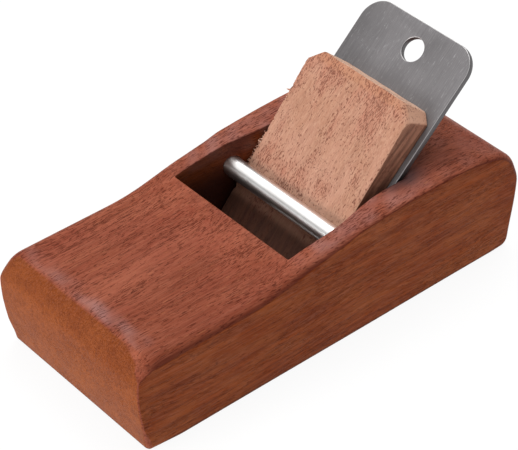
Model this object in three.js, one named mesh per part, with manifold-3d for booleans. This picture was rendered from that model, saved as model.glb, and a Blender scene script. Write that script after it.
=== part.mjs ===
// Small wooden block plane of the cross-pin kind: a solid hardwood stock, a
// steel pin across its throat, a bevel-down iron and the wedge that locks it.
// Millimetres. +X is the toe (the way the plane is pushed), +Z is up, and the
// origin is the centre of the sole.
import * as THREE from 'three';
import { ConvexGeometry } from 'three/addons/geometries/ConvexGeometry.js';
import * as BufferGeometryUtils from 'three/addons/utils/BufferGeometryUtils.js';
import Module from 'manifold-3d';

const wasm = await Module();
wasm.setup();

// Stock
const HALF_LENGTH = 57.4;       // toe and heel faces at their fullest
const HALF_WIDTH = 25;
const SOLE_HALF_LENGTH = 55.1;  // the end faces lean in towards the sole
const SOLE_EASE = 0.9;          // worn corner between the sole and an end face
const TOE_TOP = 25.2;           // height of the flat part over the toe
const TOE_ROUND_X = 51.1;       // the flat part turns down to the toe here
const TOE_FLAT_X = 27.8;        // and starts to rise towards the throat here
const THROAT_TOP = 28.2;        // height just behind the throat's front edge
const HUMP_TOP = 30.65;         // height of the crest behind the iron
const HUMP_X = -29.2;
const HEEL_TOP = 28.7;          // where the top turns down to the heel
const HEEL_ROUND_X = -50.2;
const FACE_FULLEST_Z = 19;      // height at which the end faces are fullest
const SIDE_EASE = 0.8;          // arris all round each side face
const TOP_ROUND = 2.5;          // rounding of the long top edges by toe and heel
const FLARE_TOE_X = 61;         // where the flared ends meet the flared bottom
const FLARE_HEEL_X = -60.5;
const FLARE_DROP = 8;
const CREST_LIFT = 2.2;         // keeps the wide rounding clear of the crest
const CREST_X = [-14, -34];

// Curves of the side view, each given by its last three control points, [X, Z].
const TOE_FOOT = [SOLE_HALF_LENGTH - 0.2, SOLE_EASE];
const TOE_FACE = [[SOLE_HALF_LENGTH + 0.9, 6], [HALF_LENGTH, 12], [HALF_LENGTH, FACE_FULLEST_Z]];
const TOE_ROUND = [[HALF_LENGTH, 22.6], [SOLE_HALF_LENGTH, TOE_TOP], [TOE_ROUND_X, TOE_TOP]];
const RISE = [[17.3, TOE_TOP], [14.3, 27.2], [5.3, THROAT_TOP]];
const HUMP = [[-4.7, 29.3], [HUMP_X + 12, HUMP_TOP], [HUMP_X, HUMP_TOP]];
const FALL = [[HUMP_X - 8, HUMP_TOP], [-44.5, 30.2], [HEEL_ROUND_X, HEEL_TOP]];
const HEEL_ROUND = [[-54.7, 27.5], [-HALF_LENGTH, 24.6], [-HALF_LENGTH, FACE_FULLEST_Z]];
const HEEL_FOOT = [-SOLE_HALF_LENGTH - 0.3, SOLE_EASE];
const HEEL_FACE = [[-HALF_LENGTH, 13], [-SOLE_HALF_LENGTH - 1.1, 7], HEEL_FOOT];

// Throat
const BED_DEG = 44;
const BED_X = 6.7;              // the iron's front face meets the sole here
const THROAT_WIDTH = 39.6;      // in front, where the cheeks are cut back
const BED_WIDTH = 35.9;         // between the cheeks beside the iron
const THROAT_FRONT_X = 10.7;    // front edge of the throat, on top
const THROAT_FRONT_Z = 27.5;
const MOUTH_X = 8.4;            // front edge of the mouth, in the sole
const MOUTH_HEIGHT = 4;         // upright part of the front wall
// Half the throat's width at distances out from the iron's face.
const CHEEKS = [
  [-4, BED_WIDTH / 2], [6.5, BED_WIDTH / 2], [11, THROAT_WIDTH / 2 - 0.7],
  [15, THROAT_WIDTH / 2], [45, THROAT_WIDTH / 2 + 0.01],
];
const FIT_GAP = 0.3;            // clearance between pieces that touch
const CUT_PAST = 2;             // how far a cutting solid reaches past its work

// Cross pin
const PIN_RADIUS = 2.5;
const PIN_X = -5.7;
const PIN_Z = 22.9;
const PIN_FAR_Y = -24.4;        // sunk a little in the open end of its bore
const PIN_NEAR_Y = 22.4;        // the bore is blind in the near cheek
const PIN_CHAMFER = 0.4;
const PIN_SIDES = 32;

// Iron, lying on the bed; distances run up the bed from the sole
const IRON_WIDTH = 34.8;
const IRON_THICKNESS = 1.6;
const IRON_EDGE = 0.5;
const IRON_TOP = 77.2;
const IRON_CORNER = 6;
const IRON_BEVEL = 3.2;         // length of the ground bevel, on the bed side
const IRON_EDGE_THICKNESS = 0.12;
const HOLE_RADIUS = 3;
const HOLE_UP = 70.5;
const HOLE_Y = 0.8;

// Wedge
const WEDGE_WIDTH = 33.2;
const WEDGE_LOW = 8;            // thin end
const WEDGE_HIGH = 60;          // thick end
const WEDGE_END_THICKNESS = 8.4; // above the iron's face, at the thick end
const WEDGE_TAPER = 0.0985;
const WEDGE_LOW_CUT = 3.6;      // the thin end is cut back on its upper side
const CORNER_ACROSS = 4.2;      // clipped corners of the thick end
const CORNER_DOWN = 4.2;
// On the iron the near corner is worn round instead: [down from the end, in from the side].
const WORN_CORNER = [[0, CORNER_ACROSS + 1], [0.8, 2.2], [2.2, 0]];

function toManifold(geometry) {
  const g = geometry.clone();
  g.deleteAttribute('normal');
  g.deleteAttribute('uv');
  const merged = BufferGeometryUtils.mergeVertices(g, 1e-4);
  return new wasm.Manifold(new wasm.Mesh({
    numProp: 3,
    vertProperties: new Float32Array(merged.attributes.position.array),
    triVerts: new Uint32Array(merged.index.array),
  }));
}

function toGeometry(solid) {
  const mesh = solid.getMesh();
  const g = new THREE.BufferGeometry();
  g.setAttribute('position', new THREE.BufferAttribute(new Float32Array(mesh.vertProperties), 3));
  g.setIndex(new THREE.BufferAttribute(new Uint32Array(mesh.triVerts), 1));
  g.computeVertexNormals();
  return g;
}

// An XZ outline carried straight across the plane, centred on Y = 0.
function acrossY(shape, width, curveSegments, round = 0, roundSteps = 0) {
  const g = new THREE.ExtrudeGeometry(shape, {
    depth: width - 2 * round,
    curveSegments,
    bevelEnabled: round > 0,
    bevelThickness: round,
    bevelSize: round,
    bevelOffset: -round,
    bevelSegments: roundSteps,
  });
  g.translate(0, 0, -(width - 2 * round) / 2);
  g.rotateX(Math.PI / 2);
  return g;
}

function curveTo(s, [a, b, c]) {
  s.bezierCurveTo(...a, ...b, ...c);
}

// Toe round-over, flat top and rise to the throat.
function traceToe(s) {
  curveTo(s, TOE_ROUND);
  s.lineTo(TOE_FLAT_X, TOE_TOP);
  curveTo(s, RISE);
}

// Side view of the stock.
function stockOutline() {
  const s = new THREE.Shape();
  s.moveTo(-SOLE_HALF_LENGTH + SOLE_EASE, 0);
  s.lineTo(TOE_FOOT[0] - SOLE_EASE - 0.2, 0);
  s.quadraticCurveTo(TOE_FOOT[0] - 0.2, 0, ...TOE_FOOT);
  curveTo(s, TOE_FACE);
  traceToe(s);
  curveTo(s, HUMP);
  curveTo(s, FALL);
  curveTo(s, HEEL_ROUND);
  curveTo(s, HEEL_FACE);
  s.quadraticCurveTo(-SOLE_HALF_LENGTH, 0, -SOLE_HALF_LENGTH + SOLE_EASE, 0);
  return s;
}

// Its toe and heel again over ends that flare outwards, with the top between
// them raised: the wide rounding of the long top edges turns the corners, dies
// out down the upright ones, and fades away along the hump.
function flaredOutline() {
  const s = new THREE.Shape();
  s.moveTo(FLARE_HEEL_X, -FLARE_DROP);
  s.lineTo(FLARE_TOE_X, -FLARE_DROP);
  s.lineTo(HALF_LENGTH, FACE_FULLEST_Z);
  traceToe(s);
  CREST_X.forEach((x) => s.lineTo(x, HUMP_TOP + CREST_LIFT));
  s.lineTo(HEEL_ROUND_X, HEEL_TOP);
  curveTo(s, HEEL_ROUND);
  s.closePath();
  return s;
}

// The throat: upright wall over the mouth, front wall, and the bed behind.
function throatOutline() {
  const bed = THREE.MathUtils.degToRad(BED_DEG);
  const bedFootX = BED_X - (IRON_THICKNESS + FIT_GAP) / Math.sin(bed);
  const above = 40;
  const below = -3;
  const slope = (THROAT_FRONT_X - MOUTH_X) / (THROAT_FRONT_Z - MOUTH_HEIGHT);
  const s = new THREE.Shape();
  s.moveTo(bedFootX - below / Math.tan(bed), below);
  s.lineTo(MOUTH_X, below);
  s.lineTo(MOUTH_X, MOUTH_HEIGHT);
  s.lineTo(MOUTH_X + slope * (above - MOUTH_HEIGHT), above);
  s.lineTo(bedFootX - above / Math.tan(bed), above);
  s.closePath();
  return s;
}

// The throat seen along the bed: as wide as the iron needs beside it, and wider
// in front, where the shavings pass.
function throatChannel() {
  const bed = THREE.MathUtils.degToRad(BED_DEG);
  const from = -40;
  const to = 70;
  const s = new THREE.Shape();
  s.setFromPoints([
    ...CHEEKS.map(([n, y]) => new THREE.Vector2(n, -y)),
    ...CHEEKS.toReversed().map(([n, y]) => new THREE.Vector2(n, y)),
  ]);
  const g = new THREE.ExtrudeGeometry(s, { depth: to - from, bevelEnabled: false });
  const n = new THREE.Vector3(Math.sin(bed), 0, Math.cos(bed));
  const up = new THREE.Vector3(-Math.cos(bed), 0, Math.sin(bed));
  const start = up.clone().multiplyScalar(from).add(new THREE.Vector3(BED_X, 0, 0));
  g.applyMatrix4(new THREE.Matrix4().makeBasis(n, new THREE.Vector3(0, 1, 0), up).setPosition(start));
  return g;
}

function pinSolid(radius, y0, y1, chamfer) {
  const profile = [
    new THREE.Vector2(0, y0),
    new THREE.Vector2(radius - chamfer, y0),
    new THREE.Vector2(radius, y0 + chamfer),
    new THREE.Vector2(radius, y1 - chamfer),
    new THREE.Vector2(radius - chamfer, y1),
    new THREE.Vector2(0, y1),
  ];
  const g = new THREE.LatheGeometry(profile, PIN_SIDES);
  g.translate(PIN_X, 0, PIN_Z);
  return g;
}

function boreSolid() {
  const y0 = -HALF_WIDTH - CUT_PAST;
  const y1 = PIN_NEAR_Y + FIT_GAP;
  const g = new THREE.CylinderGeometry(PIN_RADIUS + FIT_GAP, PIN_RADIUS + FIT_GAP, y1 - y0, PIN_SIDES);
  g.translate(PIN_X, (y0 + y1) / 2, PIN_Z);
  return g;
}

function makeStock() {
  const block = toManifold(acrossY(stockOutline(), 2 * HALF_WIDTH, 8, SIDE_EASE, 2));
  const rounded = toManifold(acrossY(flaredOutline(), 2 * HALF_WIDTH, 8, TOP_ROUND, 4));
  const throat = toManifold(acrossY(throatOutline(), THROAT_WIDTH + CUT_PAST, 1))
    .intersect(toManifold(throatChannel()));
  return toGeometry(block.intersect(rounded).subtract(throat).subtract(toManifold(boreSolid())));
}

// Plan of the iron in its own plane: x runs down the bed, y across.
function ironOutline() {
  const w = IRON_WIDTH / 2;
  const r = IRON_CORNER;
  const s = new THREE.Shape();
  s.moveTo(-IRON_EDGE, -w);
  s.lineTo(-IRON_EDGE, w);
  s.lineTo(-IRON_TOP + r, w);
  s.absarc(-IRON_TOP + r, w - r, r, Math.PI / 2, Math.PI, false);
  s.absarc(-IRON_TOP + r, -w + r, r, Math.PI, Math.PI * 1.5, false);
  s.closePath();
  s.holes.push(new THREE.Path().absarc(-HOLE_UP, HOLE_Y, HOLE_RADIUS, 0, Math.PI * 2, true));
  return s;
}

function makeIron() {
  const plate = new THREE.ExtrudeGeometry(ironOutline(), {
    depth: IRON_THICKNESS, curveSegments: 10, bevelEnabled: false,
  });
  plate.translate(0, 0, -IRON_THICKNESS);
  const ground = new THREE.Shape();
  ground.moveTo(-IRON_EDGE - IRON_BEVEL, -IRON_THICKNESS);
  ground.lineTo(-IRON_EDGE, -IRON_EDGE_THICKNESS);
  ground.lineTo(CUT_PAST, -IRON_EDGE_THICKNESS);
  ground.lineTo(CUT_PAST, -IRON_THICKNESS - CUT_PAST);
  ground.lineTo(-IRON_EDGE - IRON_BEVEL, -IRON_THICKNESS - CUT_PAST);
  ground.closePath();
  const grinder = acrossY(ground, IRON_WIDTH + 2 * CUT_PAST, 1);
  return toGeometry(toManifold(plate).subtract(toManifold(grinder)));
}

// The wedge is the hull of its lower outline, on the iron, and its upper one.
function makeWedge() {
  const w = WEDGE_WIDTH / 2;
  const thickness = (up) => WEDGE_END_THICKNESS - (WEDGE_HIGH - up) * WEDGE_TAPER;
  const topEnd = WEDGE_HIGH - WEDGE_END_THICKNESS * WEDGE_TAPER;
  const lower = (up, y) => new THREE.Vector3(-up, y, FIT_GAP);
  const upper = (up, y) => new THREE.Vector3(-up, y, thickness(up));
  const points = [
    lower(WEDGE_LOW, -w), lower(WEDGE_LOW, w),
    upper(WEDGE_LOW + WEDGE_LOW_CUT, -w), upper(WEDGE_LOW + WEDGE_LOW_CUT, w),
    lower(WEDGE_HIGH, -w + CORNER_ACROSS), lower(WEDGE_HIGH - CORNER_DOWN, -w),
    upper(topEnd, -w + CORNER_ACROSS), upper(topEnd - CORNER_DOWN, -w),
    ...WORN_CORNER.map(([down, inward]) => lower(WEDGE_HIGH - down, w - inward)),
    upper(topEnd, w - CORNER_ACROSS), upper(topEnd - CORNER_DOWN, w),
  ];
  const g = new ConvexGeometry(points);
  g.deleteAttribute('normal');
  const merged = BufferGeometryUtils.mergeVertices(g, 1e-4);
  merged.computeVertexNormals();
  return merged;
}

function named(name, geometry, color, roughness, metalness) {
  const mesh = new THREE.Mesh(geometry, new THREE.MeshStandardMaterial({ color, roughness, metalness }));
  mesh.name = name;
  return mesh;
}

const plane = new THREE.Group();
plane.add(named('stock', makeStock(), 0x8a4a35, 0.5, 0));
plane.add(named('cross_pin', pinSolid(PIN_RADIUS, PIN_FAR_Y, PIN_NEAR_Y, PIN_CHAMFER), 0xdcdcdc, 0.15, 1));

const bed = new THREE.Group();
bed.position.set(BED_X, 0, 0);
bed.rotation.y = THREE.MathUtils.degToRad(BED_DEG);
bed.add(named('iron', makeIron(), 0x8f8f94, 0.35, 1));
bed.add(named('wedge', makeWedge(), 0xb98a6e, 0.75, 0));
plane.add(bed);

export default plane;
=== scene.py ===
"""Looks of the small wooden block plane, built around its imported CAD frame.

+X is the toe, +Y the side that faces the camera, +Z up, and the origin is the
centre of the sole. Shapes are worked out in millimetres and handed to Blender
in metres. The stock and the wedge are meshed from fields (negative inside), so
that their edges can be eased by different amounts from place to place, as they
are on a hand-finished plane. The iron and the pin are built ring by ring.
"""
import math

import bmesh
import bpy
import numpy as np
from mathutils import Matrix, Vector


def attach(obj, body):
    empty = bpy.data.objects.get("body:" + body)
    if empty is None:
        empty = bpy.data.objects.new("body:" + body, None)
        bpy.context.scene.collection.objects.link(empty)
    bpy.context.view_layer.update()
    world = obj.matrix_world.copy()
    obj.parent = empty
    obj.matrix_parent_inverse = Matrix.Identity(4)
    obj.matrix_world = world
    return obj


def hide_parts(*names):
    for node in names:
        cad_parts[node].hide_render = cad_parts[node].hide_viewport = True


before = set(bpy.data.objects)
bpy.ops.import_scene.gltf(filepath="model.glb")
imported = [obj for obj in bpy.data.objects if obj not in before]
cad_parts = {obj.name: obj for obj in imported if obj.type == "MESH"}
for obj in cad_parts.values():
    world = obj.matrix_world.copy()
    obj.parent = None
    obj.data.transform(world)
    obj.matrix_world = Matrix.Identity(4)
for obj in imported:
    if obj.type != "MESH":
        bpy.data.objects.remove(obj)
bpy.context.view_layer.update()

MM = 0.001

# ---------------------------------------------------------------- dimensions
HALF_WIDTH = 25.0
SOLE_HALF = 55.1
FULL_HALF = 57.4        # half the length where toe and heel are fullest
TOE_FULL_Z = 19
HEEL_FULL_Z = 18
TOE_CREST_X = 51.1      # the toe's top is flat from here back to TOE_FLAT_X
TOE_FLAT_X = 27.8
TOE_TOP = 25.2
RISE_AT = (5.3, 28.2)   # X and Z halfway up to the hump
HUMP_TOP = 30.65
HUMP_X = -29.2
HEEL_X = -50.4
HEEL_TOP = 28.95

BED_ANGLE = math.radians(44)
BED_X = 6.7             # where the line of the iron's upper face meets the sole
UP_BED = np.array([-math.cos(BED_ANGLE), 0, math.sin(BED_ANGLE)])
OUT_BED = np.array([math.sin(BED_ANGLE), 0, math.cos(BED_ANGLE)])

THROAT_FRONT = 8.4      # X of the front wall at the mouth
THROAT_LEAN = 0.0979    # how far the wall leans to the toe for each mm it rises
THROAT_LEAN_COS = 0.995
THROAT_LEAN_Z = 4       # the wall is upright below this
THROAT_HALF = 19.8      # half the throat's width near its front
BED_HALF = 17.95        # and beside the bed
FLARE_FROM, FLARE_OVER = 4.5, 10    # where it widens, out from the iron's face

IRON_HALF = 17.4
IRON_THICK = 1.6
IRON_LOW = 0.5          # up the bed
IRON_TOP = 77.2
IRON_CORNER = 6.0
IRON_EASE = 0.16
BEVEL_TOP = 3.7         # up the bed, on the underside
BEVEL_LAND = 0.12       # thickness left at the cutting edge
HOLE_AT = (0.8, 70.5)   # across and up the bed
HOLE_RADIUS = 3.0

WEDGE_FAR = 17.5        # it stands a little to the far side
WEDGE_NEAR = 16.2
WEDGE_LOW = 8.0         # up the bed
WEDGE_HIGH = 60.0
WEDGE_THICK = 8.4       # at WEDGE_HIGH
WEDGE_TAPER = 0.0985
WEDGE_CLIP = 4.2        # its two upper corners are clipped
THIN_RUN, THIN_RISE, THIN_SLANT = 3.6, 3.61, 5.1    # the cut of its thin end

PIN_RADIUS = 2.5
PIN_AT = (-5.7, 22.9)   # X and Z
PIN_FAR = -24.4
PIN_NEAR = 22.4
PIN_END = ((0.6, 0), (1.9, 0), (2.2, 0.1), (2.4, 0.28), (PIN_RADIUS, 0.6))  # radius, depth

BED_GAP = 0.03          # under the iron
WEDGE_GAP = 0.02        # over the iron
BORE_GAP = 0.06         # round the pin
BORE_DEEPER = 0.2       # past the pin's near end
TOOL_MARK = 0.05        # waviness left by hand tools
WEAR = 0.03

# rounding of single edges
RIM_EASE, SEAT_EASE = 0.35, 0.6         # the throat's rim, and more by the iron
CHEEK_EASE, FLOOR_EASE = 0.35, 0.2      # the throat's inner corners
BORE_EASE, BORE_END_EASE = 0.14, 0.1
NEAR_CLIP_EASE, FAR_CLIP_EASE = 2.0, 0.5
WEDGE_EASE, TORN_EASE, BASE_EASE = 0.35, 0.22, 0.3

# how finely round things are divided
HOLE_SIDES, PIN_SIDES, FIBRE_SIDES = 48, 64, 6
CORNER_STEPS, EASE_STEPS, PIN_STEPS, FIBRE_STEPS = 15, 4, 60, 6

# rounding of the side faces' edges: X along the plane, and the radius there
TOP_EDGE = ((-57, 1.9), (-50, 1.7), (-40, 0.8), (-6, 0.7), (-2, 1.6),
            (5, 2.2), (12, 2.6), (24, 2.8), (57, 2.9))
UPRIGHT_EDGE = ((-57, 0.9), (57, 0.5))
FOOT_EDGE = ((-56, 0.8), (-50, 0.35), (46, 0.35), (55, 1.7))


# -------------------------------------------------------------------- fields
def both(a, b, radius):
    """Where both fields are negative, with the edge between them rounded."""
    return np.minimum(-radius, np.maximum(a, b)) + np.hypot(
        np.maximum(a + radius, 0), np.maximum(b + radius, 0))


def smooth(t):
    t = np.clip(t, 0, 1)
    return t * t * (3 - 2 * t)


def ripple(x, y, z, wave, seed, stretch=(1, 1, 1)):
    """Gentle seeded waviness, mostly between -1 and 1, about wave mm long."""
    rng = np.random.default_rng(seed)
    waves = 7
    total = 0
    for _ in range(waves):
        d = rng.normal(size=3)
        d *= 2 * math.pi / wave * rng.uniform(0.6, 1.5) / np.linalg.norm(d)
        total = total + np.sin(x * d[0] * stretch[0] + y * d[1] * stretch[1]
                               + z * d[2] * stretch[2] + rng.uniform(0, 6.28))
    return total / (waves / 2)


def bezier(a, b, c, d, steps):
    """Points along a cubic curve from a to just before d."""
    t = np.linspace(0, 1, steps, endpoint=False)[:, None]
    a, b, c, d = map(np.array, (a, b, c, d))
    return ((1 - t) ** 3 * a + 3 * t * (1 - t) ** 2 * b
            + 3 * t * t * (1 - t) * c + t ** 3 * d)


def chain(start, *curves):
    """Points along joined curves: each has two handles, an end and its steps."""
    points = []
    for one, two, end, steps in curves:
        points.append(bezier(start, one, two, end, steps))
        start = end
    return np.concatenate(points)


class Outline:
    """Distance to a closed outline in the XZ plane, kept as a table."""

    def __init__(self, points, step=0.2, margin=5):
        self.step = step
        self.low = points.min(0) - margin
        count = np.ceil((points.max(0) + margin - self.low) / step).astype(int) + 1
        xs, zs = (self.low[k] + step * np.arange(count[k]) for k in (0, 1))
        px, pz = xs[:, None], zs[None, :]
        near = np.full(count, 1e9)
        inside = np.zeros(count, bool)
        for (x0, z0), (x1, z1) in zip(points, np.roll(points, -1, 0)):
            dx, dz = x1 - x0, z1 - z0
            t = ((px - x0) * dx + (pz - z0) * dz) / (dx * dx + dz * dz + 1e-12)
            t = np.clip(t, 0, 1)
            near = np.minimum(near, (px - x0 - t * dx) ** 2 + (pz - z0 - t * dz) ** 2)
            if abs(dz) > 1e-12:
                inside ^= ((z0 > pz) != (z1 > pz)) & (px < x0 + (pz - z0) * dx / dz)
        self.table = np.where(inside, -1, 1) * np.sqrt(near)

    def __call__(self, x, z):
        fx = np.clip((x - self.low[0]) / self.step, 0, self.table.shape[0] - 1.001)
        fz = np.clip((z - self.low[1]) / self.step, 0, self.table.shape[1] - 1.001)
        fx, fz = np.broadcast_arrays(fx, fz)
        i, k = fx.astype(int), fz.astype(int)
        tx, tz = fx - i, fz - k
        t = self.table
        return ((t[i, k] * (1 - tx) + t[i + 1, k] * tx) * (1 - tz)
                + (t[i, k + 1] * (1 - tx) + t[i + 1, k + 1] * tx) * tz)


# anticlockwise from the toe's foot
side_view = Outline(np.concatenate([
    chain((SOLE_HALF - 1.3, 0),
          ((SOLE_HALF - 0.6, 0), (SOLE_HALF - 0.3, 0.3), (SOLE_HALF - 0.2, 0.9), 10),
          ((SOLE_HALF + 0.9, 6), (FULL_HALF, 12), (FULL_HALF, TOE_FULL_Z), 40),
          ((FULL_HALF, 22.6), (SOLE_HALF, TOE_TOP), (TOE_CREST_X, TOE_TOP), 40)),
    [(TOE_CREST_X, TOE_TOP), (TOE_FLAT_X, TOE_TOP)],
    chain((TOE_FLAT_X, TOE_TOP),
          ((17.3, TOE_TOP), (14.3, 27.2), RISE_AT, 40),
          ((-4.7, 29.3), (HUMP_X + 12, HUMP_TOP), (HUMP_X, HUMP_TOP), 40),
          ((HUMP_X - 8, HUMP_TOP), (-44.8, 30.4), (HEEL_X, HEEL_TOP), 40),
          ((-54.6, 27.6), (-FULL_HALF, 23.4), (-FULL_HALF, HEEL_FULL_Z), 40),
          ((-FULL_HALF, 13), (-SOLE_HALF - 1.2, 7), (-SOLE_HALF - 0.5, 2), 40),
          ((-SOLE_HALF - 0.3, 0.8), (-SOLE_HALF + 0.5, 0), (-SOLE_HALF + 1.9, 0), 14)),
]))


def edge_radius(x, y, z):
    """Rounding of the side faces' edges: generous over the toe, slight on the hump."""
    top, upright, foot = (np.interp(x, *zip(*edge))
                          for edge in (TOP_EDGE, UPRIGHT_EDGE, FOOT_EDGE))
    low = foot + (upright - foot) * smooth((z - 2) / 5)
    # the toe's near upright arris stays crisp to just under the crest
    crisp = smooth((x - 40) / 12) * smooth((y + 5) / 10)
    start, rise = 18.5 + 2.7 * crisp, 4.5 - 2.3 * crisp
    high = smooth((z - start) / rise)
    return top * high + low * (1 - high)


def side_slope(x, z, h=0.3):
    """How far the side view's outline leans towards the toe near a point."""
    along = side_view(x + h, z) - side_view(x - h, z)
    rise = side_view(x, z + h) - side_view(x, z - h)
    return along / np.hypot(along, rise)


def out_from_iron(x, z):
    """Height above the iron's upper face, square to the bed."""
    return (x - BED_X) * OUT_BED[0] + z * OUT_BED[2]


def throat_field(x, y, z):
    out = out_from_iron(x, z)
    bed = -(out + IRON_THICK + BED_GAP) + TOOL_MARK * ripple(x, y, z, 9, 21)
    leaning = x - THROAT_FRONT - (z - THROAT_LEAN_Z) * THROAT_LEAN
    front = np.minimum(x - THROAT_FRONT, leaning * THROAT_LEAN_COS)
    half = BED_HALF + (THROAT_HALF - BED_HALF) * smooth((out - FLARE_FROM) / FLARE_OVER)
    cheek = np.abs(y) - half + TOOL_MARK * ripple(x, y, z, 12, 22)
    return both(both(bed, front, FLOOR_EASE), cheek, CHEEK_EASE)


def bore_field(x, y, z):
    """The pin's bore, blind at the near end."""
    wall = np.hypot(x - PIN_AT[0], z - PIN_AT[1]) - PIN_RADIUS - BORE_GAP
    return both(wall, y - PIN_NEAR - BORE_DEEPER, BORE_END_EASE)


def stock_field(x, y, z):
    # wear takes the outer faces in by a few hundredths of a millimetre
    worn = WEAR * (ripple(x, y, z, 34, 5, (0.6, 1, 1)) - 1.7)
    around = side_view(x, z) - worn * 0.8
    side = np.abs(y) - HALF_WIDTH - worn
    body = both(around, side, edge_radius(x, y, z))
    # the throat's rim is rounder where the iron comes out over the bed
    seat = np.exp(-((out_from_iron(x, z) + IRON_THICK) / IRON_THICK) ** 2)
    rim = RIM_EASE + SEAT_EASE * seat * smooth((z - 24) / 3)
    body = both(body, -throat_field(x, y, z), rim)
    return both(body, -bore_field(x, y, z), BORE_EASE)


def plane_through(a, b, c):
    """Field of the half-space on the origin's side of the plane through a, b and c."""
    a, b, c = map(np.array, (a, b, c))
    n = np.cross(b - a, c - a)
    n = n / np.linalg.norm(n)
    if n @ a < 0:
        n = -n
    return lambda x, y, z: x * n[0] + y * n[1] + z * n[2] - n @ a


TOP_END = WEDGE_HIGH - WEDGE_THICK * WEDGE_TAPER
near_clip = plane_through((WEDGE_NEAR - WEDGE_CLIP, TOP_END, WEDGE_THICK),
                          (WEDGE_NEAR, TOP_END - WEDGE_CLIP, WEDGE_THICK),
                          (WEDGE_NEAR - 1.8, WEDGE_HIGH - 0.8, 0.3))


def wedge_field(x, y, z):
    """x is across, y up the bed and z out from the iron."""
    tilt = math.hypot(1, WEDGE_TAPER)
    top = (z - WEDGE_THICK + (WEDGE_HIGH - y) * WEDGE_TAPER) / tilt
    top = top + TOOL_MARK * (1 + ripple(x, y, z, 16, 31))
    end = (y - WEDGE_HIGH + z * WEDGE_TAPER) / tilt
    end = end + TOOL_MARK * (1 + ripple(x, y, z, 6, 32))
    thin = (THIN_RUN * (z - WEDGE_GAP) - THIN_RISE * (y - WEDGE_LOW)) / THIN_SLANT
    # the far long edge is torn, deeper in its lower half
    torn = ripple(x, y, z, 1.5, 33, (0.3, 1, 0.6)) + 0.55 * ripple(x, y, z, 5, 34)
    depth = 0.34 + 0.3 * smooth((37 - y) / 4)
    torn = depth * np.maximum(torn, -0.1) * smooth((top + 1.6) / 1.4) * smooth((y - 16) / 8)
    far = -x - WEDGE_FAR + np.maximum(torn, 0)
    near = x - WEDGE_NEAR + TOOL_MARK * (1 + ripple(x, y, z, 12, 35))
    far_clip = (-x - WEDGE_FAR + WEDGE_CLIP + y - WEDGE_HIGH) / math.sqrt(2)
    shape = both(near_clip(x, y, z), top, NEAR_CLIP_EASE)
    shape = both(both(shape, near, WEDGE_EASE), end, WEDGE_EASE)
    shape = both(both(shape, far, TORN_EASE), far_clip, FAR_CLIP_EASE)
    return both(both(shape, thin, BASE_EASE), WEDGE_GAP - z, BASE_EASE)


# -------------------------------------------------------------------- meshes
def planes(low, high, step, *finer):
    """Grid planes step apart, closer in each (from, to, step)."""
    out = [low]
    while out[-1] < high:
        out.append(out[-1] + min([step] + [s for a, b, s in finer if a <= out[-1] < b]))
    return np.array(out)


def slope(field, p, h=0.03):
    """Value and gradient of the field at each point."""
    g = np.empty_like(p)
    for k in range(3):
        d = np.zeros(3)
        d[k] = h
        g[:, k] = (field(*(p + d).T) - field(*(p - d).T)) / (2 * h)
    return field(*p.T), g


def mesh_field(name, field, xs, ys, zs, passes=4):
    """Quad mesh of a field's zero level on a grid: one vertex in each cell that the
    surface crosses, moved onto the surface, and a quad round each crossed grid edge."""
    axes = (xs, ys, zs)
    f = field(xs[:, None, None], ys[None, :, None], zs[None, None, :])
    f = np.broadcast_to(f, [len(a) for a in axes])
    cells = [len(a) - 1 for a in axes]
    total, count = np.zeros(cells + [3]), np.zeros(cells)
    ring = ((0, 0), (1, 0), (1, 1), (0, 1))
    crossed = []
    for a in range(3):
        b, c = (a + 1) % 3, (a + 2) % 3
        low, high = (np.take(f, range(s, f.shape[a] - 1 + s), a) for s in (0, 1))
        cross = (low < 0) != (high < 0)
        at = np.argwhere(cross)
        t = low[cross] / (low[cross] - high[cross])
        p = np.stack([axes[k][at[:, k]] for k in range(3)], 1)
        p[:, a] += t * (axes[a][at[:, a] + 1] - axes[a][at[:, a]])
        around = []
        for db, dc in ring:
            cell = at.copy()
            cell[:, b] -= db
            cell[:, c] -= dc
            np.add.at(total, tuple(cell.T), p)
            np.add.at(count, tuple(cell.T), 1)
            around.append(cell)
        crossed.append((around, low[cross] < 0))
    used = count > 0
    number = np.cumsum(used.ravel()).reshape(cells) - 1
    points = total[used] / count[used][:, None]
    # no vertex moves further in one pass than a part of the smallest cell
    limit = 0.6 * min(np.diff(a).min() for a in axes)
    for _ in range(passes):
        value, g = slope(field, points)
        move = -value / np.maximum((g * g).sum(1), 0.05)
        step = g * move[:, None]
        long = np.linalg.norm(step, axis=1)
        points = points + step * np.minimum(1, limit / np.maximum(long, 1e-9))[:, None]
    quads = []
    for around, start_inside in crossed:
        q = np.stack([number[tuple(cell.T)] for cell in around], 1)
        quads.append(np.where(start_inside[:, None], q[:, ::-1], q))
    quads = np.concatenate(quads)[:, ::-1]
    normals = slope(field, points)[1]
    normals /= np.linalg.norm(normals, axis=1)[:, None]
    mesh = bpy.data.meshes.new(name)
    mesh.from_pydata((points * MM).tolist(), [], quads.tolist())
    mesh.shade_smooth()
    mesh.normals_split_custom_set_from_vertices(normals.tolist())
    return mesh, points


def keep_value(mesh, name, values):
    """Store a number at each vertex for the material to read."""
    layer = mesh.attributes.new(name, "FLOAT", "POINT")
    layer.data.foreach_set("value", np.asarray(values, np.float32))


def place(name, mesh, matrix=None):
    if matrix is not None:
        mesh.transform(matrix)
    obj = bpy.data.objects.new(name, mesh)
    bpy.context.scene.collection.objects.link(obj)
    return obj


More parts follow.
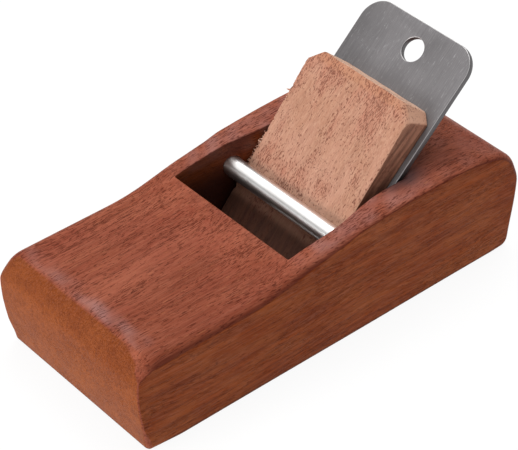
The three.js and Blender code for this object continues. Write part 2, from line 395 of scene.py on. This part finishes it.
def place_solid(name, bm, matrix=None, sharp=None):
    """Place a finished bmesh; edges sharper than sharp degrees aren't shaded smooth."""
    bmesh.ops.recalc_face_normals(bm, faces=bm.faces)
    mesh = bpy.data.meshes.new(name)
    bm.to_mesh(mesh)
    bm.free()
    mesh.shade_smooth()
    if sharp is not None:
        mesh.set_sharp_from_angle(angle=math.radians(sharp))
    return place(name, mesh, matrix)


def bed_matrix():
    """Local X is across the plane, local Y up the bed and local Z out from it."""
    m = Matrix.Identity(4)
    for row in range(3):
        m[row][0] = (0, 1, 0)[row]
        m[row][1] = UP_BED[row]
        m[row][2] = OUT_BED[row]
    m[0][3] = BED_X * MM
    return m


def make_stock():
    # the grid is finer by the ends, the throat, the pin and the long edges
    mesh, p = mesh_field(
        "stock_body", stock_field,
        planes(-58.4, 58.4, 0.95,
               (-58.4, -47, 0.45), (-18.5, 12.5, 0.42), (-9, -2.4, 0.3), (47, 59, 0.45)),
        planes(-25.9, 25.9, 1.1, (-26, -22, 0.4), (-21, -17.2, 0.3), (17.2, 26, 0.4)),
        planes(-0.8, 31.6, 0.9, (-1, 2.2, 0.4), (19.8, 32, 0.4)))
    x, y, z = p.T
    # a pale painted highlight (painted sheen): along the toe's crest, and round the throat
    patchy = (0.55 + 0.5 * ripple(x, y, z, 6, 51, (1, 0.7, 1))).clip(0, 1)
    crest = smooth((0.30 - side_slope(x, z)) / 0.2) * smooth((x - 47.5) / 4)
    crest = crest * (0.45 + 0.55 * smooth((y + 14) / 12))
    crest = crest * smooth((21.5 - y) / 3) * smooth((z - 21) / 2)
    throat_sheen = smooth((14 - x) / 14) * (0.3 + 0.7 * smooth((x + 34) / 12))
    throat_sheen = throat_sheen * smooth((z - 25) / 2) * smooth((25.2 - np.abs(y)) / 2)
    keep_value(mesh, "painted_sheen", patchy * np.maximum(crest, 0.7 * throat_sheen))
    # grey painted shadow of the iron on the top, by the near end of the iron's seat
    reach = np.hypot((x + 25.5) / 8.5, (y - 18.2) / 4)
    iron_shadow = smooth(1.1 - reach) * smooth((z - 27) / 1)
    keep_value(mesh, "painted_iron_shadow", iron_shadow * (0.7 + 0.3 * patchy))
    # how far the red of the top runs down the near toe corner and over the heel
    keep_value(mesh, "red_end", np.where(x > 0, 0.42 * smooth((y - 15) / 10), 0.50))
    # a dark line round the sole's edge: painted contact shade by the floor
    keep_value(mesh, "foot", smooth((1.1 - z) / 0.8) * (np.hypot(x / 57, y / 25) > 0.95))
    # painted shade on the throat walls, stronger lower down
    in_throat = smooth(1 - np.abs(throat_field(x, y, z)) / 0.5)
    keep_value(mesh, "throat", in_throat * (0.6 + 0.4 * smooth((26 - z) / 9)))
    return place("stock_body", mesh)


def make_wedge():
    mesh, p = mesh_field(
        "wedge_body", wedge_field,
        planes(-18.3, 17.0, 0.8, (-18.4, -12.4, 0.26), (11.1, 17.1, 0.3)),
        planes(7.2, 60.6, 0.34, (54.5, 61, 0.3)),
        planes(-0.5, 9.0, 0.33, (5, 9, 0.26)))
    y, z = p.T[1:]
    # a stain near the top end, a band just above the pin painted lighter to cancel the pin's
    # shadow, and painted shade below the pin
    keep_value(mesh, "end", smooth((y + z * WEDGE_TAPER - 56.2) / 2.6))
    keep_value(mesh, "painted_lift", smooth((y - 25.8) / 1.4) * smooth((30.4 - y) / 2.6))
    keep_value(mesh, "painted_shade_low", smooth((22.0 - y) / 4))
    return place("wedge_body", mesh, bed_matrix())


def rings_to_mesh(bm, rings):
    """Join each ring of points to the next; gives back the rings of vertices."""
    made = [[bm.verts.new(v) for v in ring] for ring in rings]
    for one, two in zip(made, made[1:]):
        n = len(one)
        for i in range(n):
            bm.faces.new((one[i], one[(i + 1) % n], two[(i + 1) % n], two[i]))
    return made


def turn(count):
    """Evenly spaced angles round a circle."""
    return np.linspace(0, 2 * math.pi, count, endpoint=False)


def iron_ring(inset, out):
    """The iron's outline, drawn in by inset, at height out."""
    half, radius = IRON_HALF - inset, IRON_CORNER - inset
    ring = []
    for side in (1, -1):
        steps = np.linspace(0, math.pi / 2, CORNER_STEPS)
        for s in steps if side > 0 else steps[::-1]:
            ring.append((side * (half - radius + radius * math.cos(s)),
                         IRON_TOP - inset - radius + radius * math.sin(s), out))
    low = IRON_LOW + inset
    rising = np.linspace(low, IRON_TOP - 8, 12)
    across = np.linspace(-half, half, 9)
    ring += [(-half, u, out) for u in rising[::-1]]
    ring += [(a, low, out) for a in across[1:-1]]
    ring += [(half, u, out) for u in rising]
    return [tuple(c * MM for c in v) for v in ring]


def hole_ring(grow, out):
    """The hanging hole's outline, opened by grow, at height out."""
    r = HOLE_RADIUS + grow
    return [((HOLE_AT[0] + r * math.cos(t)) * MM, (HOLE_AT[1] + r * math.sin(t)) * MM,
             out * MM) for t in turn(HOLE_SIDES)]


def make_iron():
    bm = bmesh.new()
    arc = [(IRON_EASE * (1 - math.sin(t)), -IRON_EASE * (1 - math.cos(t)))
           for t in np.linspace(0, math.pi / 2, EASE_STEPS)]
    section = arc + [(i, -IRON_THICK - o) for i, o in arc[::-1]]
    outer = rings_to_mesh(bm, [iron_ring(i, o) for i, o in section])
    inner = rings_to_mesh(bm, [hole_ring(i, o) for i, o in section])
    for k in (0, -1):
        loop = []
        for ring in (outer[k], inner[k]):
            loop += [bm.edges.get(pair) for pair in zip(ring, ring[1:] + ring[:1])]
        bmesh.ops.triangle_fill(bm, use_beauty=True, edges=loop)
    # the ground bevel, on the bed side
    cut = bmesh.ops.bisect_plane(
        bm, geom=bm.verts[:] + bm.edges[:] + bm.faces[:], dist=1e-7,
        plane_co=(0, BEVEL_TOP * MM, -IRON_THICK * MM),
        plane_no=(0, BEVEL_LAND - IRON_THICK, IRON_LOW - BEVEL_TOP), clear_outer=True)
    rim = [e for e in cut["geom_cut"] if isinstance(e, bmesh.types.BMEdge)]
    bmesh.ops.edgeloop_fill(bm, edges=rim)
    return place_solid("iron_plate", bm, bed_matrix(), sharp=40)


def make_pin():
    """A rod with eased ends, a few microns out of round."""
    bm = bmesh.new()
    profile = [(r, PIN_FAR + depth) for r, depth in PIN_END]
    profile += [(PIN_RADIUS, y)
                for y in np.linspace(PIN_FAR + 1.4, PIN_NEAR - 1.4, PIN_STEPS)]
    profile += [(r, PIN_NEAR - depth) for r, depth in PIN_END[::-1]]
    rings = []
    for k, (radius, y) in enumerate(profile):
        flat = abs(0.006 * math.sin(k * 0.35))
        ring = []
        for t in turn(PIN_SIDES):
            r = radius - flat * (1 + math.cos(t * 2 + k * 0.3)) / 2
            ring.append(((PIN_AT[0] + r * math.cos(t)) * MM, y * MM,
                         (PIN_AT[1] + r * math.sin(t)) * MM))
        rings.append(ring)
    made = rings_to_mesh(bm, rings)
    for ring in (made[0], made[-1]):
        bm.faces.new(ring)
    return place_solid("pin_rod", bm, sharp=38)


def make_fibres():
    """Torn wood fibres along the far edge of the wedge's face."""
    rng = np.random.default_rng(14)
    bm = bmesh.new()
    # place up the bed, shortest and longest: a thick row, a thin row and one splinter
    spots = [(u, 0.8, 2.0) for u in rng.uniform(26.5, 35.5, 46)]
    spots += [(u, 0.2, 0.7) for u in rng.uniform(36, 56, 20)]
    spots += [(47.3, 1.5, 1.9)]
    for u, short, long in spots:
        length = rng.uniform(short, long)
        width = rng.uniform(0.11, 0.25) if u < 40 or length < 1.2 else 0.32
        out = WEDGE_THICK - (WEDGE_HIGH - u) * WEDGE_TAPER - rng.uniform(0.15, 0.6)
        lean = rng.uniform(-1.1, 0.5)
        lift = rng.uniform(-0.25, 0.25)
        rings = []
        for s in np.linspace(0, 1, FIBRE_STEPS):
            across = -WEDGE_FAR + 0.35 - s * length * math.cos(lean) * 0.9
            up = u + s * length * math.sin(lean)
            rise = out + lift * s * s * length
            r = width * (1.02 - s) ** 0.7
            rings.append([(across * MM, (up + r * math.cos(t)) * MM,
                           (rise + r * math.sin(t)) * MM) for t in turn(FIBRE_SIDES)])
        made = rings_to_mesh(bm, rings)
        bm.faces.new(made[0])
        bm.faces.new(made[-1])
    return place_solid("wedge_fibres", bm, bed_matrix())


# ------------------------------------------------------------------- colours
TOP_DARK, TOP_LIGHT = (0.222, 0.052, 0.025), (0.314, 0.088, 0.047)
TOP_CLOUD = (0.235, 0.052, 0.030)
SIDE_DARK, SIDE_LIGHT = (0.168, 0.0275, 0.0035), (0.256, 0.048, 0.0075)
SIDE_PATCH = (0.315, 0.084, 0.022)
END_DARK, END_LIGHT = (0.218, 0.048, 0.008), (0.280, 0.070, 0.015)
END_UPWARD = (0.150, 0.036, 0.012)
STOCK_STREAK = (0.085, 0.013, 0.004)
STOCK_FIBRE = (0.40, 0.145, 0.085)
# colour of the painted highlight along the toe's crest and round the throat
STOCK_PAINTED_SHEEN = (0.36, 0.21, 0.20)
STOCK_PORE, STOCK_LONG_PORE = (0.065, 0.009, 0.004), (0.07, 0.011, 0.006)
STOCK_FLECK = (0.42, 0.16, 0.06)
STOCK_ARRIS = (0.085, 0.012, 0.006)
STOCK_FOOT_SHADE = (0.045, 0.010, 0.005)
# colour of the painted shadow of the iron beside its seat
STOCK_PAINTED_IRON_SHADOW = (0.045, 0.032, 0.036)
STOCK_THROAT_SHADE = (0.030, 0.010, 0.008)

WEDGE_DARK, WEDGE_LIGHT = (0.420, 0.200, 0.122), (0.490, 0.245, 0.165)
WEDGE_RED = (0.40, 0.145, 0.090)
WEDGE_STREAK = (0.22, 0.085, 0.050)
WEDGE_FIBRE = (0.62, 0.37, 0.25)
WEDGE_STAIN = (0.46, 0.195, 0.095)
WEDGE_END = (0.68, 0.45, 0.33)
# painted light: lighter colour that cancels the pin's shadow just above it
WEDGE_PAINTED_LIFT = (0.70, 0.43, 0.31)
WEDGE_FACET_PAINTED_LIGHT = (0.62, 0.33, 0.22)
WEDGE_SIDE_DARK, WEDGE_SIDE_LIGHT = (0.155, 0.058, 0.032), (0.35, 0.150, 0.090)
WEDGE_PORE = (0.17, 0.048, 0.026)
# colours of the painted shade on the wedge below the pin
WEDGE_SHADE_DARK, WEDGE_SHADE_LIGHT = (0.055, 0.018, 0.011), (0.105, 0.032, 0.017)
TORN_LIGHT, TORN_DARK = (0.66, 0.44, 0.32), (0.42, 0.17, 0.11)

IRON_DARK, IRON_LIGHT = (0.215, 0.204, 0.207), (0.255, 0.243, 0.247)
IRON_SCRATCH = (0.13, 0.124, 0.127)
IRON_NICK, IRON_SPOT = (0.42, 0.405, 0.41), (0.13, 0.123, 0.13)
# colour of the painted glint on the iron's arris
IRON_ARRIS_GLINT = (0.62, 0.60, 0.60)
IRON_EDGE = (0.085, 0.080, 0.083)
PIN_LIGHT, PIN_DARK = (0.80, 0.79, 0.78), (0.75, 0.735, 0.72)


# ----------------------------------------------------------------- materials
class Graph:
    """Short hand for a node material around its Principled shader."""

    def __init__(self, name):
        self.material = bpy.data.materials.new(name)
        self.material.use_nodes = True
        self.tree = self.material.node_tree
        self.shader = self.tree.nodes["Principled BSDF"]

    def plug(self, socket, value):
        """Link a socket to an output, or set its own value."""
        if isinstance(value, bpy.types.NodeSocket):
            self.tree.links.new(value, socket)
        else:
            socket.default_value = value

    def node(self, kind, inputs, out=0, **settings):
        n = self.tree.nodes.new(kind)
        for key, value in settings.items():
            setattr(n, key, value)
        for key, value in inputs.items():
            self.plug(n.inputs[key], value)
        return n.outputs[out]

    def millimetres(self):
        """Object coordinates in millimetres; X runs along the plane."""
        at = self.node("ShaderNodeTexCoord", {}, "Object")
        return self.vector("MULTIPLY", at, (1000, 1000, 1000))

    def along_bed(self):
        """Millimetres up the bed, across the plane and out from the bed."""
        at = self.vector("SUBTRACT", self.millimetres(), (BED_X, 0, 0))
        return self.node("ShaderNodeCombineXYZ", {
            k: self.dot(at, axis) for k, axis in enumerate((UP_BED, (0, 1, 0), OUT_BED))})

    def dot(self, a, axis):
        return self.node("ShaderNodeVectorMath", {0: a, 1: tuple(axis)}, "Value",
                         operation="DOT_PRODUCT")

    def vector(self, operation, a, b):
        return self.node("ShaderNodeVectorMath", {0: a, 1: b}, operation=operation)

    def math(self, operation, a, b=0.0):
        return self.node("ShaderNodeMath", {0: a, 1: b}, operation=operation)

    def times(self, first, *others):
        for other in others:
            first = self.math("MULTIPLY", first, other)
        return first

    def plus(self, a, b):
        return self.math("ADD", a, b)

    def minus(self, a, b):
        return self.math("SUBTRACT", a, b)

    def noise(self, at, scale, detail=2.0, roughness=0.5, shift=(0, 0, 0), out=0):
        """Noise, with scale per millimetre along each axis."""
        at = self.vector("MULTIPLY", at, scale)
        at = self.vector("ADD", at, shift)
        return self.node("ShaderNodeTexNoise", {
            "Vector": at, "Scale": 1.0, "Detail": detail, "Roughness": roughness}, out)

    def wander(self, at, scale, width):
        """Coordinates that drift sideways over a band of width, so the grain isn't straight."""
        sway = self.noise(at, scale, 2, out="Color")
        sway = self.vector("SUBTRACT", sway, (0.5, 0.5, 0.5))
        return self.vector("ADD", at, self.vector("MULTIPLY", sway, (0, width, width)))

    def ramp(self, value, low, high, bottom=0.0, top=1.0):
        """Smooth step of value from low to high."""
        return self.node("ShaderNodeMapRange", {
            "Value": value, "From Min": low, "From Max": high, "To Min": bottom, "To Max": top,
        }, interpolation_type="SMOOTHSTEP")

    def mix(self, factor, a, b):
        n = self.tree.nodes.new("ShaderNodeMix")
        n.data_type = "RGBA"
        for k, v in ((0, factor), (6, a), (7, b)):
            if k and not isinstance(v, bpy.types.NodeSocket):
                v = (*v, 1)
            self.plug(n.inputs[k], v)
        return n.outputs[2]

    def coats(self, colour, *coats):
        """Lay each (factor, colour) over the one before."""
        for factor, coat in coats:
            colour = self.mix(factor, colour, coat)
        return colour

    def kept(self, name):
        return self.node("ShaderNodeAttribute", {}, "Fac", attribute_name=name)

    def facing(self, axis):
        """How far the surface faces along an axis of the object, from -1 to 1."""
        return self.dot(self.node("ShaderNodeTexCoord", {}, "Normal"), axis)

    def bump(self, height, distance, strength):
        return self.node("ShaderNodeBump", {
            "Height": height, "Distance": distance * MM, "Strength": strength})

    def finish(self, obj, **inputs):
        for key, value in inputs.items():
            self.plug(self.shader.inputs[key.replace("_", " ")], value)
        obj.data.materials.clear()
        obj.data.materials.append(self.material)


def paint_stock(obj):
    g = Graph("oiled_red_hardwood")
    at = g.millimetres()
    at_wavy = g.wander(at, (0.016, 0.05, 0.05), 7)
    # growth layers round a heart that runs along the plane, low on the near side
    off = g.vector("MULTIPLY", g.vector("SUBTRACT", at_wavy, (0, 14, -38)), (0, 1, 1))
    radius = g.node("ShaderNodeVectorMath", {0: off}, "Value", operation="LENGTH")
    layers = g.node("ShaderNodeTexNoise", {
        "W": g.times(radius, 0.42), "Detail": 3.0, "Roughness": 0.62, "Scale": 1.0,
    }, noise_dimensions="1D")
    streaks = g.noise(at_wavy, (0.045, 1.1, 1.1), 4, 0.6)
    fibres = g.noise(at_wavy, (0.16, 4.2, 4.2), 3, 0.6)
    clouds = g.noise(at, (0.035, 0.09, 0.09), 3, 0.55)
    patches = g.noise(at, (0.06, 0.16, 0.16), 3, 0.6, shift=(31, 2, 5))
    # open pores: short dark lines along the grain, dots on the end grain
    crowd = g.noise(at, (0.05, 0.22, 0.22), 2, shift=(9, 4, 2))
    pores = g.noise(at_wavy, (0.55, 3.9, 3.9), 2, 0.5, shift=(3, 1, 7))
    pores = g.plus(pores, g.times(g.minus(crowd, 0.5), 0.34))
    pores = g.ramp(pores, 0.565, 0.66)
    long_pores = g.noise(at_wavy, (0.13, 3.4, 3.4), 1, 0.4, shift=(11, 5, 1))
    long_pores = g.ramp(long_pores, 0.60, 0.72)
    flecks = g.ramp(g.noise(at_wavy, (0.3, 3.0, 3.0), 1, 0.5, shift=(21, 8, 3)), 0.69, 0.77)

    # which face it is
    along, across = (g.math("ABSOLUTE", g.facing(axis)) for axis in ((1, 0, 0), (0, 1, 0)))
    up = g.facing((0, 0, 1))
    end_grain = g.minus(along, g.plus(g.times(across, 0.6), g.kept("red_end")))
    end_grain = g.ramp(end_grain, 0.24, 0.36)
    side = g.ramp(across, 0.92, 0.98)
    shoulder = g.times(g.ramp(across, 0.72, 0.90), g.ramp(across, 0.955, 0.988, 1, 0),
                       g.ramp(up, 0.05, 0.2))
    quiet = g.math("MAXIMUM", g.times(end_grain, 0.75), g.times(side, 0.45))
    quiet = g.minus(1.0, quiet)

    side_colour = g.mix(g.ramp(layers, 0.30, 0.70), SIDE_DARK, SIDE_LIGHT)
    side_colour = g.mix(g.ramp(patches, 0.36, 0.66, 0, 0.6), side_colour, SIDE_PATCH)
    colour = g.coats(
        g.mix(g.ramp(layers, 0.32, 0.68), TOP_DARK, TOP_LIGHT),
        (g.ramp(clouds, 0.35, 0.68, 0, 0.55), TOP_CLOUD),
        (side, side_colour),
        (end_grain, g.mix(g.ramp(clouds, 0.3, 0.7), END_DARK, END_LIGHT)),
        (g.times(end_grain, g.ramp(up, 0.05, 0.7, 0, 0.42)), END_UPWARD),
        (g.ramp(streaks, 0.34, 0.58, 0.36, 0), STOCK_STREAK),
        (g.ramp(fibres, 0.42, 0.66, 0.0, 0.26), STOCK_FIBRE),
        # painted highlight along the toe's crest and round the throat
        (g.times(g.kept("painted_sheen"), 0.48), STOCK_PAINTED_SHEEN),
        (g.times(pores, 0.62, quiet), STOCK_PORE),
        (g.times(long_pores, 0.4, quiet), STOCK_LONG_PORE),
        (g.times(flecks, 0.30), STOCK_FLECK),
        # the rounded long edges are darker and redder; the throat walls get painted shade,
        # deeper lower down
        (g.times(shoulder, 0.60), STOCK_ARRIS),
        # painted contact shade along the sole's edge
        (g.times(g.kept("foot"), 0.6), STOCK_FOOT_SHADE),
        # painted shadow of the iron beside its seat
        (g.times(g.kept("painted_iron_shadow"), 0.85), STOCK_PAINTED_IRON_SHADOW),
        (g.ramp(g.kept("throat"), 0.2, 1.0, 0, 0.9), STOCK_THROAT_SHADE))

    height = g.minus(g.times(fibres, 0.4), g.plus(pores, g.times(long_pores, 0.7)))
    roughness = g.plus(g.ramp(clouds, 0.3, 0.7, 0.37, 0.47), g.times(pores, 0.15))
    g.finish(obj, Base_Color=colour, Roughness=roughness, Specular_IOR_Level=0.04,
             Normal=g.bump(height, 0.075, 0.9))


def paint_wedge(obj):
    g = Graph("raw_pink_hardwood")
    at = g.along_bed()
    at_wavy = g.wander(at, (0.03, 0.06, 0.06), 5)
    clouds = g.noise(at, (0.05, 0.11, 0.3), 3, 0.6, shift=(2, 6, 1))
    streaks = g.noise(at_wavy, (0.06, 0.9, 0.9), 4, 0.65)
    fibres = g.noise(at_wavy, (0.35, 4.0, 4.0), 3, 0.6)
    crowd = g.noise(at, (0.06, 0.16, 0.3), 2, shift=(5, 1, 2))
    pores = g.noise(at_wavy, (1.15, 3.5, 3.5), 2, 0.5, shift=(4, 9, 2))
    pores = g.ramp(g.plus(pores, g.times(g.minus(crowd, 0.5), 0.42)), 0.575, 0.69)

    # which face it is; the facet is the near corner's clip, painted lighter as painted light so
    # it looks as lit as the front face
    nearward = g.facing((0, 1, 0))
    side = g.ramp(g.math("ABSOLUTE", nearward), 0.84, 0.96)
    end = g.ramp(g.facing(UP_BED), 0.5, 0.9)
    facet = g.times(g.ramp(nearward, 0.25, 0.5), g.ramp(nearward, 0.80, 0.93, 1, 0))

    side_colour = g.mix(g.ramp(streaks, 0.36, 0.64), WEDGE_SIDE_DARK, WEDGE_SIDE_LIGHT)
    # colour of the painted shade below the pin
    shade_colour = g.mix(g.ramp(streaks, 0.36, 0.64), WEDGE_SHADE_DARK, WEDGE_SHADE_LIGHT)
    colour = g.coats(
        g.mix(g.ramp(clouds, 0.32, 0.68), WEDGE_DARK, WEDGE_LIGHT),
        (g.ramp(crowd, 0.48, 0.68, 0, 0.6), WEDGE_RED),
        (g.ramp(streaks, 0.36, 0.62, 0.26, 0.0), WEDGE_STREAK),
        (g.ramp(fibres, 0.42, 0.66, 0.0, 0.35), WEDGE_FIBRE),
        (g.ramp(g.kept("end"), 0.1, 0.9, 0, 0.38), WEDGE_STAIN),
        (g.times(end, 0.8), WEDGE_END),
        # band above the pin painted lighter to cancel the pin's shadow
        (g.times(g.kept("painted_lift"), 0.38), WEDGE_PAINTED_LIFT),
        # facet painted lighter to stand in for light it doesn't catch
        (g.times(facet, 0.4), WEDGE_FACET_PAINTED_LIGHT),
        (g.times(side, 0.9), side_colour),
        (g.times(pores, 0.78), WEDGE_PORE),
        # painted shade on the wedge below the pin
        (g.ramp(g.kept("painted_shade_low"), 0, 1, 0, 0.88), shade_colour))
    height = g.minus(g.times(fibres, 0.6), pores)
    g.finish(obj, Base_Color=colour, Roughness=g.ramp(clouds, 0.3, 0.7, 0.62, 0.74),
             Specular_IOR_Level=0.3, Normal=g.bump(height, 0.09, 0.9))


def paint_fibres(obj):
    g = Graph("torn_fibre")
    tint = g.noise(g.millimetres(), (2, 2, 2), 1)
    g.finish(obj, Base_Color=g.mix(g.ramp(tint, 0.4, 0.6), TORN_LIGHT, TORN_DARK),
             Roughness=0.8)


def paint_iron(obj):
    g = Graph("ground_steel")
    at = g.along_bed()
    scratches = g.noise(at, (0.07, 4.5, 4.5), 4, 0.7)
    fine = g.noise(at, (0.5, 9.0, 9.0), 2, 0.6)
    clouds = g.noise(at, (0.05, 0.07, 0.07), 3, 0.55)
    nicks = g.noise(at, (0.45, 3.2, 3.2), 3, 0.7, shift=(3, 8, 1))
    flat = g.math("ABSOLUTE", g.facing(OUT_BED))
    colour = g.coats(
        g.mix(g.ramp(clouds, 0.3, 0.7), IRON_DARK, IRON_LIGHT),
        (g.ramp(scratches, 0.38, 0.60, 0.40, 0.0), IRON_SCRATCH),
        (g.ramp(nicks, 0.58, 0.68, 0.0, 0.55), IRON_NICK),
        (g.ramp(nicks, 0.30, 0.43, 0.35, 0.0), IRON_SPOT),
        # sheared edges stay dark, and the arris between gets a painted bright glint
        (g.ramp(flat, 0.93, 0.985, 0.75, 0.0), IRON_ARRIS_GLINT),
        (g.ramp(flat, 0.30, 0.62, 0.85, 0.0), IRON_EDGE))
    roughness = g.plus(g.ramp(scratches, 0.3, 0.7, 0.42, 0.52), g.times(clouds, 0.06))
    g.finish(obj, Base_Color=colour, Metallic=1.0, Roughness=roughness,
             Normal=g.bump(g.plus(scratches, g.times(fine, 0.5)), 0.012, 0.6))


def paint_pin(obj):
    g = Graph("bright_steel_rod")
    at = g.millimetres()
    turned = g.noise(at, (0.4, 1.5, 0.4), 2, 0.5)
    clouds = g.noise(at, (0.3, 0.12, 0.3), 2)
    g.finish(obj, Base_Color=g.mix(g.ramp(clouds, 0.35, 0.7), PIN_LIGHT, PIN_DARK),
             Metallic=1.0, Roughness=g.ramp(turned, 0.3, 0.7, 0.29, 0.33))


def paint_floor(obj):
    g = Graph("white_paper")
    g.finish(obj, Base_Color=(0.10, 0.10, 0.10, 1), Roughness=0.9, Specular_IOR_Level=0.0,
             Emission_Color=(1, 1, 1, 1), Emission_Strength=0.91)


# --------------------------------------------------------------------- pieces
stock = make_stock()
paint_stock(stock)
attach(stock, "stock")
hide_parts("stock")

pin = make_pin()
paint_pin(pin)
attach(pin, "stock")
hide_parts("cross_pin")

iron = make_iron()
paint_iron(iron)
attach(iron, "iron")
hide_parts("iron")

wedge = make_wedge()
paint_wedge(wedge)
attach(wedge, "wedge")
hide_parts("wedge")

fibres = make_fibres()
paint_fibres(fibres)
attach(fibres, "wedge")

# ---------------------------------------------------------------------- stage
FLOOR_HALF = 6.0
FLOOR_DROP = 0.0001     # under the sole
LIGHT_AIM = Vector((0, 0, 0.02))
LIGHTS = (
    # name, direction it comes from, distance, size, power
    ("overhead", (-0.36, -0.24, 0.90), 1.0, (0.8, 0.8), 7.4),
    ("glow", (0.16, -0.50, 0.85), 1.1, (0.8, 0.9), 2.4),
    ("toe_side", (0.95, -0.08, 0.28), 1.0, (0.7, 0.4), 7.2),
)
WORLD_STRENGTH = 0.40


def make_floor():
    mesh = bpy.data.meshes.new("floor")
    s = FLOOR_HALF
    mesh.from_pydata([(-s, -s, 0), (s, -s, 0), (s, s, 0), (-s, s, 0)], [], [(0, 1, 2, 3)])
    floor = place("floor", mesh, Matrix.Translation((0, 0, -FLOOR_DROP)))
    paint_floor(floor)


def make_light(name, direction, distance, size, power):
    data = bpy.data.lights.new(name, "AREA")
    data.shape = "RECTANGLE"
    data.size, data.size_y = size
    data.energy = power
    light = bpy.data.objects.new(name, data)
    bpy.context.scene.collection.objects.link(light)
    aim = Vector(direction).normalized()
    light.location = aim * distance + LIGHT_AIM
    light.rotation_mode = "QUATERNION"
    light.rotation_quaternion = aim.to_track_quat("Z", "Y")


def make_world():
    world = bpy.data.worlds.new("studio")
    world.use_nodes = True
    background = world.node_tree.nodes["Background"]
    background.inputs["Color"].default_value = (1, 1, 1, 1)
    background.inputs["Strength"].default_value = WORLD_STRENGTH
    bpy.context.scene.world = world


make_floor()
for light in LIGHTS:
    make_light(*light)
make_world()
bpy.context.scene.view_settings.view_transform = "Standard"

# --------------------------------------------------------------------- camera
CAMERA_TURN = math.radians(139.2327)    # 0 looks along +Y, 90 along -X
CAMERA_TILT = math.radians(38.7366)     # above the horizon
CAMERA_ROLL = math.radians(0.0816)
CAMERA_FROM = Vector((-0.0002, 0, 0))   # the point that the next three start from
CAMERA_BACK = 0.52196
CAMERA_ACROSS = -0.001762
CAMERA_OVER = 0.015028
SENSOR = 36.0
LENS = 154.10


def make_camera():
    back = Vector((math.sin(CAMERA_TURN) * math.cos(CAMERA_TILT),
                   -math.cos(CAMERA_TURN) * math.cos(CAMERA_TILT), math.sin(CAMERA_TILT)))
    right = Vector((0, 0, 1)).cross(back).normalized()
    up = back.cross(right)
    c, s = math.cos(CAMERA_ROLL), math.sin(CAMERA_ROLL)
    right, up = right * c + up * s, up * c - right * s
    data = bpy.data.cameras.new("camera")
    data.sensor_width, data.lens = SENSOR, LENS
    data.clip_start, data.clip_end = 0.01, 50
    camera = bpy.data.objects.new("camera", data)
    bpy.context.scene.collection.objects.link(camera)
    at = right * CAMERA_ACROSS + up * CAMERA_OVER + back * CAMERA_BACK + CAMERA_FROM
    m = Matrix.Identity(4)
    for row in range(3):
        m[row][0], m[row][1], m[row][2], m[row][3] = right[row], up[row], back[row], at[row]
    camera.matrix_world = m
    bpy.context.scene.camera = camera


make_camera()
